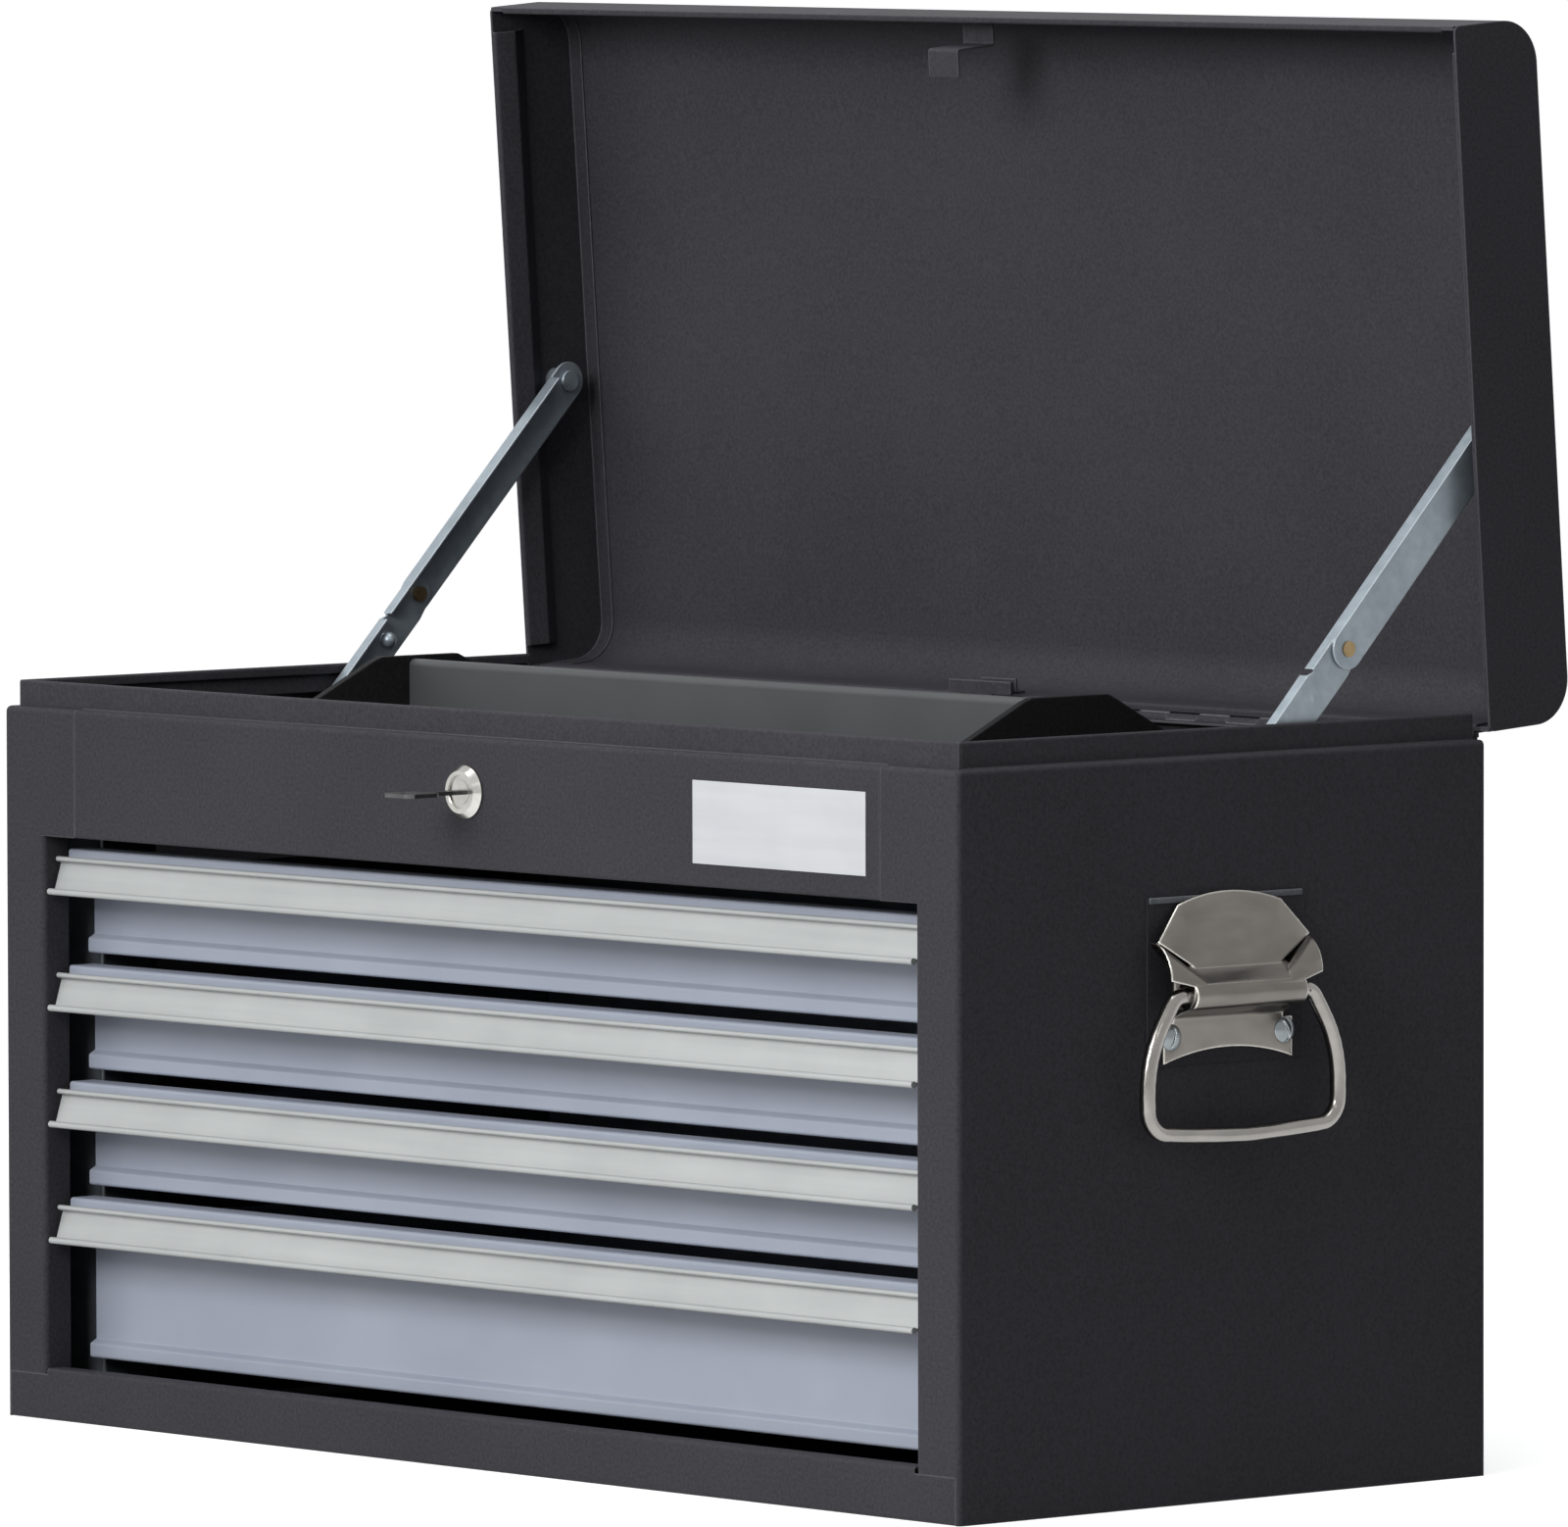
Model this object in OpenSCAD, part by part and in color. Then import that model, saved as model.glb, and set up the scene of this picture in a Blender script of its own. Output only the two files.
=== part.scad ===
// Steel tool chest: hinged lid over a top compartment, four drawers on slides, two side handles.
// Origin: centre of the base. Z up, front towards -Y. The lid is drawn open, standing on its two stays.

/* [Case] */
// Width over the case walls
case_w = 660; // [600:5:720]
// Depth over the case
case_d = 316; // [300:2:340]
// Height of the shoulder that the lid rests on
shoulder_h = 330; // [318:1:350]
// Thickness of the case sheet
sheet = 1.0; // [0.8:0.1:1.1]
// Step in from the wall to the rim
rim_in = 5.2; // [5.0:0.1:5.6]
// Height of the rim above the shoulder
rim_h = 12; // [10:0.5:13]
// Height of the front header
header_h = 59.3; // [56:0.1:64]
// Half width of the header between its two seams
header_half = 278.7; // [250:0.5:285]
// Height of the front sill
sill_h = 23.9; // [22:0.1:28]
// Height of the seam where the columns stand on the sill
sill_seam = 21.1; // [18:0.1:21.5]
// Width of the front columns beside the drawers
column_w = 28.2; // [27:0.1:30]

/* [Drawers] */
// Height of the small drawer faces
face_h = 48.8; // [46:0.2:50]
// Gap between two faces
face_gap = 5.1; // [4:0.1:6]
// Gap between the first face and the header
first_gap = 6.3; // [5:0.1:8]
// Set back of the faces behind the front of the case
face_back = 27.7; // [25:0.1:32]
// Half width of the faces
face_half = 298.5; // [296:0.5:299.5]
// Half width of the pulls
pull_half = 299.2; // [296:0.1:299.5]
// Half width of the drawer boxes
box_half = 287; // [284:0.5:287]
// Length of the drawer boxes behind the faces
box_l = 264; // [240:1:268]
// Distance from a box top to the top of its face
box_drop = 9; // [8:0.5:11]
// Height of the drawer rails
rail_h = 30; // [26:0.5:32]

/* [Lid] */
// Angle that the lid stands open
lid_open = 86; // [80:1:90]
// Depth of the lid over its top sheet
lid_h = 49.5; // [46:0.5:54]
// Radius of the long edges of the lid
lid_r = 20; // [14:1:22]
// Overhang of the lid ends past the case walls
lid_over = 0.6; // [0.3:0.1:0.9]
// Distance from the back of the case to the hinge axis
hinge_out = 3.2; // [3.1:0.1:3.6]
// Length of one hinge knuckle
knuckle_l = 20; // [15:1:26]
// Radius of the hinge barrel
barrel_r = 2.6; // [2.4:0.1:2.9]

/* [Stays] */
// Place of the lid stud back from the front of the case, lid closed
stud_back = 180; // [176:1:184]
// Height of the lid stud above the mouth of the lid
stud_up = 26.8; // [25:0.1:29]
// Length of the upper link between its pivots
upper_l = 136.3; // [134:0.1:138]
// Distance of the case stud in front of the middle of the case
foot_y = 4.5; // [2:0.1:7]
// Height of the case stud below the shoulder
foot_down = 38.2; // [36:0.1:40]
// Width of the links
link_w = 18; // [16:0.5:19]

/* [Handles] */
// Height of the bail axis
bail_z = 226; // [210:0.5:240]
// Distance of the bail axis from the wall
bail_out = 12; // [11.5:0.5:14]
// Diameter of the bail wire
wire_d = 7.5; // [6.5:0.1:8]
// Width over the bail
bail_w = 122; // [118:1:130]
// Drop of the bail below its axis
bail_drop = 67.5; // [62:0.5:74]

/* [Lock] */
// Height of the lock below the shoulder
lock_down = 24.7; // [23.5:0.1:26]
// Diameter of the lock ring
ring_d = 24; // [22:0.5:26]
// Diameter of the lock body
body_d = 19; // [18:0.2:20]

/* [Tote] */
// Length of the tote tray over its end plates
tote_l = 452; // [400:2:560]
// Depth of the tote tray from front to back
tote_d = 176; // [150:2:190]
// Height of the top of the tote ends
tote_top = 351.4; // [345:0.2:354]

/* [Hidden] */
$fn = 48;

powder_grey = [0.29, 0.29, 0.31];
powder_dark = [0.16, 0.16, 0.17];
face_blue = [0.57, 0.62, 0.68];
pull_silver = [0.82, 0.82, 0.80];
zinc = [0.74, 0.77, 0.80];
nickel = [0.72, 0.70, 0.66];
brass_tone = [0.80, 0.66, 0.36];
chrome_tone = [0.86, 0.86, 0.87];
tote_grey = [0.40, 0.41, 0.43];
tote_black = [0.07, 0.07, 0.07];

half_w = case_w / 2;
front = -case_d / 2;
back = case_d / 2;
half_t = sheet / 2;

// Running gap on a round fit, gap between bodies that move past each other, a hair line seam
run_gap = 0.05;
slide_gap = 0.3;
seam = 0.3;

wall_x = half_w - half_t;
ledge_z = shoulder_h - half_t;
rim_out = half_w - rim_in;
rim_top = shoulder_h + rim_h;
shoulder_r = 2.5;
fold_r = 1;
hem_turn = 0.8;
hem_gap = 1.8;
hem_l = 4;

open_half = half_w - column_w;
open_top = shoulder_h - header_h;
return_l = 15;
lip_l = 10;
deck_z = open_top + sheet;
deck_half = half_w - 24.5;
back_lip = 8;
rim_back = 2;
// The sill is lower under the columns, this far past the inner edge of each
relief = 1.2;

// Slides: pressed uprights on the side walls carry the rails
upright_y = 108;
upright_half = 16;
rail_x = half_w - 30;
slide_t = 1.2;
slide_rear = back - 22;
runner_web = box_half + slide_t;

// Drawers: the sheet of the faces, the shelf over each face and the strip that grips its edge
face_y = front + face_back;
box_rear = face_y + sheet + box_l;
shelf_front = 13.1;
shelf_drop = 4.6;
pull_t = 1.3;
lip_r = 1.5;

// Lid and hinge
hinge_y = back + hinge_out;
hinge_z = shoulder_h + 0.2;
mouth_z = shoulder_h + 0.5;
lid_top = mouth_z + lid_h;
lid_end_x = half_w + lid_over;
flange_w = 9;
hem_back = 2.6;
leaf_t = 1.2;
leaf_w = 16;
pin_r = 1.2;
hinge_half = floor((half_w - 10) / knuckle_l) * knuckle_l;
knuckle_gap = 0.3;
slot_r = barrel_r + 0.5;
web_in = 0.4;

// Lock: the cam turns behind the foot of the catch and hooks over it
lock_z = shoulder_h - lock_down;
plug_d = 11;
catch_half = 10;
catch_reach = 27;
catch_z = shoulder_h - 9;
cam_y = catch_reach + 2 * slide_gap;
cam_t = 2;
cam_hook_r = 20.4;
cam_half = 5;
key_t = 1.8;
key_blade_w = 7;
key_in = 20;
key_out = 42;

link_t = 1.2;
link_x = half_w - 10.2;
flange_in = 5.5;
// Pivots as [y, z]: on the lid, on the case, and the elbow between them, straight when the lid is open
lid_stud = [front + stud_back - hinge_y, mouth_z + stud_up - hinge_z];
stud_open = [hinge_y + lid_stud.x * cos(lid_open) + lid_stud.y * sin(lid_open),
    hinge_z - lid_stud.x * sin(lid_open) + lid_stud.y * cos(lid_open)];
foot_z = shoulder_h - foot_down;
foot = [foot_y, foot_z];
stay_dir = unit(foot - stud_open);
elbow = stud_open + upper_l * stay_dir;
lower_l = norm(foot - elbow);
stay_angle = atan2(stay_dir.y, stay_dir.x);
pivot_r = 3;
stop_l = 20;

// Handles
bail_x = half_w + bail_out;
wire_r = wire_d / 2;
tube_r = wire_r + 3;
tube_half = 33;
backing_t = 0.8;
plate_x = half_w + backing_t;
screw_y = 34;
screw_drop = 19;
screw_r = 2.5;
cover_t = 1.4;
fold_up = 11.7;
fold_out = 7.3;
hood_up = 44.3;
flare_from = 24;
flare_to = 45.3;
foot_half = 38.5;
foot_r = 125;
foot_rise = 6.5;

// Tote
tote_half = tote_l / 2;
tote_low = deck_z + sheet + seam;
tray_h = 52;
end_t = 4;

// Bar that locks the drawers: the closed lid presses it down by bar_drop_h
bar_half = 21;
bar_stem = 8;
bar_t = 2;
bar_off = 2.5;
bar_y = back - sheet - bar_off - bar_t;
bar_top = shoulder_h + 13;
bar_drop_h = 9.3;
hook_half = 5;

// Direction of a vector, its left hand side, the turn of a path at a point and what a bend takes off its runs
function unit(v) = v / norm(v);
function left_of(v) = [-v.y, v.x];
function turn_at(p, i) = let (u = unit(p[i] - p[i - 1]), w = unit(p[i + 1] - p[i]))
    atan2(u.x * w.y - u.y * w.x, u * w);
function bend_steps(turn) = max(2, ceil(abs(turn) / 15));

// One side of a bent sheet: the path moved left by off, with a round bend at each inner point
function bent_side(p, r, off) = [
    for (i = [0 : len(p) - 1])
        if (i == 0) p[0] + off * left_of(unit(p[1] - p[0]))
        else if (i == len(p) - 1) p[i] + off * left_of(unit(p[i] - p[i - 1]))
        else let (
            turn = turn_at(p, i),
            side = turn > 0 ? 1 : -1,
            u = unit(p[i] - p[i - 1]),
            centre = p[i] - u * r[i] * tan(abs(turn) / 2) + left_of(u) * side * r[i],
            start = atan2(u.y, u.x) - 90 * side,
            steps = bend_steps(turn)
        ) each [for (k = [0 : steps]) centre + (r[i] - side * off) * [cos(start + turn * k / steps),
            sin(start + turn * k / steps)]]
];
function reversed(p) = [for (i = [len(p) - 1 : -1 : 0]) p[i]];
function bend_radii(p, r) = [for (i = [0 : len(p) - 1]) r];

// A bent sheet seen end on: straight runs through the points, bent to radius r on its middle line
module bent(p, r = fold_r, t = sheet) {
    radii = is_list(r) ? r : bend_radii(p, r);
    polygon(concat(bent_side(p, radii, -t / 2), reversed(bent_side(p, radii, t / 2))));
}

// A profile drawn as [x, z] and run along Y from y0 to y1
module along_y(y0, y1) {
    translate([0, y1, 0]) rotate([90, 0, 0]) linear_extrude(y1 - y0) children();
}

// A profile drawn as [y, z] and run along X from x0 to x1
module along_x(x0, x1) {
    translate([x0, 0, 0]) rotate([90, 0, 90]) linear_extrude(x1 - x0) children();
}

// A profile drawn as [x, y] and run along Z from z0 to z1
module along_z(z0, z1) {
    translate([0, 0, z0]) linear_extrude(z1 - z0) children();
}

// A block given by its two corners
module block(a, b) {
    translate(a) cube(b - a);
}

// What stands on the right also stands on the left, mirrored
module sided(side) {
    if (side < 0) mirror([1, 0, 0]) children();
    else children();
}

// What stands at the back also stands at the front, mirrored
module both_ends() {
    children();
    mirror([0, 1, 0]) children();
}

// ---------------------------------------------------------------- case

module side_panel(side) {
    top = shoulder_h - shoulder_r;
    corner_y = front + shoulder_r;
    face_mid = front + half_t;
    rim_x = rim_out - half_t;
    rim_mid = rim_top - half_t;
    bend_r = shoulder_r - half_t;
    wall_path = [[wall_x, 0], [wall_x, ledge_z], [rim_out - sheet, ledge_z]];
    rim_path = [[rim_x, shoulder_h], [rim_x, rim_mid], [rim_x - hem_gap, rim_mid],
        [rim_x - hem_gap, rim_mid - hem_l]];
    column_path = [[wall_x, corner_y], [wall_x, face_mid], [open_half + half_t, face_mid],
        [open_half + half_t, front + return_l]];
    foot_path = [[wall_x, corner_y], [wall_x, face_mid], [half_w - shoulder_r, face_mid]];
    wing_path = [[face_mid, top], [face_mid, ledge_z], [front + rim_in + sheet, ledge_z]];
    color(side > 0 ? powder_dark : powder_grey) sided(side) {
        // Wall, shoulder and rim with its turned-down top edge
        along_y(corner_y, back) bent(wall_path, bend_r);
        along_y(front + rim_in + sheet + seam, back - rim_back) bent(rim_path, hem_turn);
        // Front corner and column with its return
        along_z(sill_seam, top) bent(column_path, bend_r);
        along_z(0, sill_seam) bent(foot_path, bend_r);
        // Wing beside the header, with its shoulder
        block([header_half + seam, front, open_top], [open_half + shoulder_r + sheet, front + sheet, top]);
        along_x(header_half + seam, half_w - shoulder_r) bent(wing_path, bend_r);
        translate([half_w - shoulder_r, corner_y, top]) sphere(shoulder_r - run_gap);
        // Rear return that the back is welded to
        block([half_w - sheet - lip_l, back - 2 * sheet, sill_h / 2 + seam],
            [half_w - sheet, back - sheet, top]);
    }
}

module front_header() {
    rim_y = front + rim_in + half_t;
    rim_mid = rim_top - half_t;
    face_mid = front + half_t;
    hem_end = rim_out - sheet - hem_gap - seam;
    face_path = [[front + lip_l, open_top + half_t], [face_mid, open_top + half_t], [face_mid, ledge_z],
        [rim_y + half_t, ledge_z]];
    rim_path = [[rim_y, shoulder_h], [rim_y, rim_mid], [rim_y + hem_gap, rim_mid],
        [rim_y + hem_gap, rim_mid - hem_l]];
    color(powder_grey) difference() {
        union() {
            along_x(-header_half, header_half) bent(face_path, [0, fold_r, shoulder_r - half_t, 0]);
            along_x(-rim_out, rim_out) bent(rim_path, hem_turn);
        }
        translate([0, front + lip_l, lock_z]) rotate([90, 0, 0]) cylinder(d = body_d + seam, h = 2 * lip_l);
        // The turned-down edge ends where it meets those of the sides
        for (side = [-1, 1]) sided(side)
            block([hem_end, front + rim_in + sheet, shoulder_h], [half_w, front + lip_l, rim_top + sheet]);
    }
}

module bottom_panel() {
    inner = half_w - shoulder_r - seam / 2;
    floor_half = half_w - sheet;
    face_mid = front + half_t;
    rear_mid = back - 1.5 * sheet;
    sill_path = [[front + shoulder_r + sheet, half_t], [face_mid, half_t], [face_mid, sill_h - half_t],
        [front + lip_l, sill_h - half_t]];
    rear_path = [[rear_mid - half_t - fold_r, half_t], [rear_mid, half_t], [rear_mid, sill_h / 2]];
    color(powder_grey) difference() {
        union() {
            along_x(-inner, inner) bent(sill_path);
            block([-floor_half, front + shoulder_r + sheet, 0], [floor_half, back - 2 * sheet, sheet]);
            along_x(-floor_half, floor_half) bent(rear_path);
        }
        // The sill steps down at each end, where the columns stand on it
        for (side = [-1, 1]) sided(side)
            block([open_half - relief, front - sheet, sill_seam], [half_w, front + return_l, sill_h + sheet]);
    }
}

module back_panel() {
    slot_half = bar_half + 3;
    strap_y = bar_y - slide_gap - half_t;
    strap_x = bar_stem + slide_gap + half_t;
    strap_foot = 9;
    strap_h = 12;
    on_back = back - sheet - half_t;
    top = shoulder_h - shoulder_r;
    corner_x = half_w - shoulder_r;
    ledge_low = ledge_z - half_t - seam;
    wall_path = [[back - half_t, 0], [back - half_t, ledge_z], [back - back_lip, ledge_z]];
    strap_path = [[-strap_x - strap_foot, on_back], [-strap_x, on_back], [-strap_x, strap_y],
        [strap_x, strap_y], [strap_x, on_back], [strap_x + strap_foot, on_back]];
    color(powder_dark) {
        difference() {
            along_x(-half_w + sheet, half_w - sheet) bent(wall_path);
            block([-slot_half, back - back_lip - sheet, shoulder_h - 2 * sheet],
                [slot_half, back - sheet, rim_top]);
            // Clear of the shoulder of each side panel
            for (side = [-1, 1]) sided(side) along_y(back - back_lip - sheet, back + sheet)
                polygon([[rim_out - sheet - seam, ledge_low], [corner_x, ledge_low], [corner_x, top - seam],
                    [half_w, top - seam], [half_w, rim_top], [rim_out - sheet - seam, rim_top]]);
        }
        // Straps that guide the lock bar
        for (i = [1, 3]) along_z(face_top(i) - face_h / 2, face_top(i) - face_h / 2 + strap_h)
            bent(strap_path, 0.7);
    }
}

// The floor of the top compartment lies on the header and the uprights, with a pocket at each side for the stays
module compartment_floor() {
    slot_half = bar_stem + 3;
    color(powder_grey) difference() {
        block([-deck_half, front + 2 * sheet, deck_z], [deck_half, back - sheet, deck_z + sheet]);
        block([-slot_half, bar_y - 2, deck_z - sheet], [slot_half, back, deck_z + 2 * sheet]);
        // Clear of the columns and their returns
        for (side = [-1, 1]) sided(side)
            block([open_half - seam, front, deck_z - sheet], [half_w, front + return_l + seam, shoulder_h]);
    }
}

module slide_uprights(side) {
    web_x = rail_x + half_t;
    color(zinc) sided(side) for (y = [-upright_y, upright_y]) let (a = y - upright_half, b = y + upright_half)
        along_z(sheet, deck_z) bent([[half_w - sheet, a], [web_x, a], [web_x, b], [half_w - sheet, b]]);
}

// ---------------------------------------------------------------- drawers

// Top and bottom of each face, counted from the top drawer
function face_top(i) = open_top - first_gap - (i - 1) * (face_h + face_gap);
function face_low(i) = i < 4 ? face_top(i) - face_h : sill_h + 3.5;
function box_low(i) = face_low(i) + sheet;
function box_top(i) = face_top(i) - box_drop;
function rail_mid(i) = i < 4 ? (box_low(i) + box_top(i)) / 2 : box_top(i) - rail_h;

module rails(i) {
    z = rail_mid(i);
    tip = runner_web + slide_gap;
    web_x = rail_x - slide_t / 2;
    arm = (rail_h - slide_t) / 2;
    rail_path = [[tip, z + arm], [web_x, z + arm], [web_x, z - arm], [tip, z - arm]];
    color(zinc) for (side = [-1, 1]) sided(side)
        along_y(3 - upright_y - upright_half, slide_rear) bent(rail_path, fold_r, slide_t);
}

module runners(i) {
    z = rail_mid(i);
    arm = rail_h / 2 - slide_t - slide_gap - slide_t / 2;
    tip = rail_x - slide_t - slide_gap;
    web_x = box_half + slide_t / 2;
    runner_path = [[tip, z + arm], [web_x, z + arm], [web_x, z - arm], [tip, z - arm]];
    color(zinc) for (side = [-1, 1]) sided(side)
        along_y(face_y + sheet, box_rear) bent(runner_path, fold_r, slide_t);
}

module drawer_box(i) {
    side_mid = box_half - half_t;
    hem_x = side_mid - hem_gap;
    low = box_low(i) + half_t;
    high = box_top(i) - half_t;
    end_half = box_half - sheet - hem_gap - seam;
    half_path = [[side_mid, low], [side_mid, high], [hem_x, high], [hem_x, high - hem_l]];
    box_path = concat(reversed([for (p = half_path) [-p.x, p.y]]), half_path);
    color(face_blue) {
        along_y(face_y + sheet, box_rear)
            bent(box_path, [0, hem_turn, hem_turn, fold_r, fold_r, hem_turn, hem_turn, 0]);
        for (y = [face_y + sheet, box_rear - sheet])
            block([-end_half, y, low + half_t], [end_half, y + sheet, box_top(i)]);
    }
}

// The face is one sheet: a foot under the box, a bead along its bottom edge, a shelf at the top
// and a short turned-down edge
module drawer_front(i) {
    y = face_y + half_t;
    low = face_low(i) + half_t;
    high = face_top(i) - half_t;
    foot_l = 8;
    bead_out = 3.7;
    bead_h = 6;
    edge_y = front + shelf_front;
    face_path = [[y + foot_l, low], [y - bead_out, low], [y - bead_out, low + bead_h], [y, low + bead_h + 2],
        [y, high], [edge_y, high], [edge_y, face_top(i) - shelf_drop]];
    color(face_blue) along_x(-face_half, face_half)
        bent(face_path, [0, fold_r, fold_r, fold_r, 1.5, fold_r, 0]);
}

// The pull is a formed strip that grips the turned-down edge: nose, grip, sloping face and a rolled lip below
module drawer_pull(i) {
    lip_z = face_top(i) - 19.3;
    grip_z = face_top(i) - shelf_drop - pull_t / 2;
    grip_y = front + shelf_front + 1.6;
    nose_r = 1.2;
    nose = [front + 6.6, grip_z + 0.9];
    lip = [front + lip_r, lip_z];
    face_path = [lip, [front + 5.2, lip_z + 0.4], [front + 9, lip_z + 12.6], [front + 9.2, grip_z]];
    grip_path = [nose, [front + 8, grip_z], [grip_y, grip_z], [grip_y, grip_z + 4]];
    color(pull_silver) along_x(-pull_half, pull_half) {
        translate(lip) circle(lip_r, $fn = 24);
        bent(face_path, [0, 1.2, 1.5, 0], pull_t);
        bent(grip_path, [0, 0.8, 0.8, 0], pull_t);
        translate(nose) circle(nose_r, $fn = 24);
    }
}

// ---------------------------------------------------------------- lock

module lock_turned(y) {
    translate([0, y, lock_z]) rotate([-90, 0, 0]) children();
}

// A round housing with a bevelled ring in front, bored for the plug
module lock_body() {
    ring_t = 4.2;
    bevel_t = 1.2;
    ring_r = ring_d / 2;
    face_r = plug_d / 2 + 2.5;
    tail = cam_y - slide_gap;
    color(chrome_tone) lock_turned(front) difference() {
        rotate_extrude() polygon([[0, bevel_t - ring_t], [face_r, bevel_t - ring_t], [ring_r - 4.2, -ring_t],
            [ring_r - 2.4, -ring_t], [ring_r, -bevel_t], [ring_r, 0], [body_d / 2, 0], [body_d / 2, tail],
            [0, tail]]);
        translate([0, 0, -2 * ring_t]) cylinder(d = plug_d + 2 * run_gap, h = 2 * cam_y);
    }
}

module lock_nut() {
    color(chrome_tone) lock_turned(front + sheet) difference() {
        cylinder(d = 27, h = 4, $fn = 6);
        translate([0, 0, -1]) cylinder(d = body_d, h = 6);
    }
}

module lock_plug() {
    slot_w = key_t + 0.2;
    color(chrome_tone) lock_turned(front) difference() {
        translate([0, 0, -3.2]) cylinder(d = plug_d, h = 3.2 + cam_y + cam_t + 1);
        translate([-key_blade_w / 2 - 0.1, -slot_w / 2, -4]) cube([key_blade_w + 0.2, slot_w, key_in + 4.5]);
    }
}

// A hooked arm behind the housing: it points aside when unlocked and up when locked
module lock_cam() {
    hook_t = 2;
    color(zinc) lock_turned(front + cam_y) difference() {
        union() {
            linear_extrude(cam_t) {
                circle(9);
                translate([0, -cam_half]) square([cam_hook_r + hook_t, 2 * cam_half]);
            }
            translate([cam_hook_r, -cam_half, -cam_half]) cube([hook_t, 2 * cam_half, cam_half + cam_t]);
        }
        translate([0, 0, -1]) cylinder(d = plug_d, h = cam_t + 2);
    }
}

module key() {
    bow_r = 10;
    color(nickel) lock_turned(front) difference() {
        translate([0, -key_t / 2, 0]) rotate([-90, 0, 0]) linear_extrude(key_t) union() {
            translate([-key_blade_w / 2, -key_in]) square([key_blade_w, key_in + key_out - bow_r]);
            translate([0, key_out - bow_r]) intersection() {
                circle(bow_r + 2);
                translate([-bow_r, -bow_r]) square([2 * bow_r, 2 * bow_r]);
            }
        }
        translate([0, 10, -key_out + 6]) rotate([90, 0, 0]) cylinder(d = 4, h = 20);
    }
}

// ---------------------------------------------------------------- lid

// The lid pieces are drawn closed and swung open about the hinge
module opened() {
    translate([0, hinge_y, hinge_z]) rotate([-lid_open, 0, 0]) translate([0, -hinge_y, -hinge_z]) children();
}

// Outline of the lid seen from its end, grown or shrunk by off
module lid_outline(off) {
    r = lid_r + off;
    low = mouth_z - 1;
    difference() {
        union() {
            translate([front - off, low]) square([case_d + 2 * off, lid_top - lid_r - low]);
            translate([front + lid_r, low]) square([case_d - 2 * lid_r, lid_top + off - low]);
            for (y = [front + lid_r, back - lid_r]) translate([y, lid_top - lid_r]) circle(r, $fn = 96);
        }
        translate([front - case_d, low - lid_h]) square([3 * case_d, lid_h + mouth_z - low]);
    }
}

// One sheet over front, top and back, with a flattened hem along the mouth
module lid_shell() {
    shell_half = lid_end_x - sheet;
    hem_half = lid_end_x - flange_w - seam;
    color(powder_grey) opened() {
        along_x(-shell_half, shell_half) difference() {
            lid_outline(0);
            lid_outline(-sheet);
        }
        both_ends() along_x(-hem_half, hem_half) bent([[back - sheet, mouth_z + half_t],
            [back - hem_back, mouth_z + half_t], [back - hem_back, mouth_z + 9]], [0, 0.8, 0]);
    }
}

// Flat end with a flange inside the shell and a boxed hem along the mouth
module lid_end(side) {
    mouth_r = 3;
    inner_x = lid_end_x - sheet;
    hem_x = lid_end_x - 4.6;
    hem_path = [[inner_x, mouth_z + half_t], [inner_x - 1.4, mouth_z + half_t], [hem_x, mouth_z + 10.5],
        [inner_x, mouth_z + 18.2]];
    color(side > 0 ? powder_dark : powder_grey) opened() sided(side) {
        difference() {
            along_x(inner_x, lid_end_x) lid_outline(0);
            for (y = [front, back]) translate([0, y, mouth_z]) difference() {
                block([inner_x - sheet, -mouth_r, -mouth_r], [lid_end_x + sheet, mouth_r, mouth_r]);
                translate([inner_x - 2 * sheet, (y > 0 ? -1 : 1) * mouth_r, mouth_r]) rotate([0, 90, 0])
                    cylinder(r = mouth_r, h = 5 * sheet);
            }
        }
        along_x(lid_end_x - flange_w, inner_x) difference() {
            lid_outline(-sheet);
            lid_outline(-2 * sheet);
        }
        // Hem leaf leaning in, then back out to the wall
        along_y(front + 12, back - 12) bent(hem_path, [0, 0.7, 0.7, 0]);
    }
}

// A strip that drops from the front wall and reaches back over the rim to the cam
module lid_catch() {
    over_z = rim_top + 1.2;
    wall_y = front + sheet + half_t;
    leg_y = front + rim_in + 8.8;
    catch_path = [[wall_y, over_z + 12], [wall_y, over_z], [leg_y, over_z], [leg_y + 0.5, catch_z],
        [front + catch_reach, catch_z]];
    color(zinc) opened() along_x(-catch_half, catch_half) bent(catch_path, 1.2);
}

// ---------------------------------------------------------------- hinge

// Knuckles of one leaf: every second length along the axis, bored for the pin
module knuckles(first) {
    for (x = [-hinge_half + first * knuckle_l : 2 * knuckle_l : hinge_half - knuckle_l / 2])
        translate([x + knuckle_gap / 2, hinge_y, hinge_z]) rotate([0, 90, 0]) difference() {
            cylinder(r = barrel_r, h = knuckle_l - knuckle_gap, $fn = 24);
            translate([0, 0, -1]) cylinder(r = pin_r + run_gap, h = knuckle_l + 2, $fn = 24);
        }
}

// Clear the leaf where the other leaf's knuckles turn
module knuckle_slots(first) {
    gap = knuckle_gap / 2;
    for (x = [-hinge_half + first * knuckle_l : 2 * knuckle_l : hinge_half - knuckle_l / 2])
        block([x - gap, back - 1, hinge_z - slot_r],
            [x + knuckle_l + gap, back + 2 * slot_r, hinge_z + slot_r]);
}

// Webs from the leaf to its knuckles, between two heights
module knuckle_webs(first, z0, z1) {
    gap = knuckle_gap / 2;
    for (x = [-hinge_half + first * knuckle_l : 2 * knuckle_l : hinge_half - knuckle_l / 2])
        block([x + gap, back, z0], [x + knuckle_l - gap, hinge_y, z1]);
}

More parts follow.
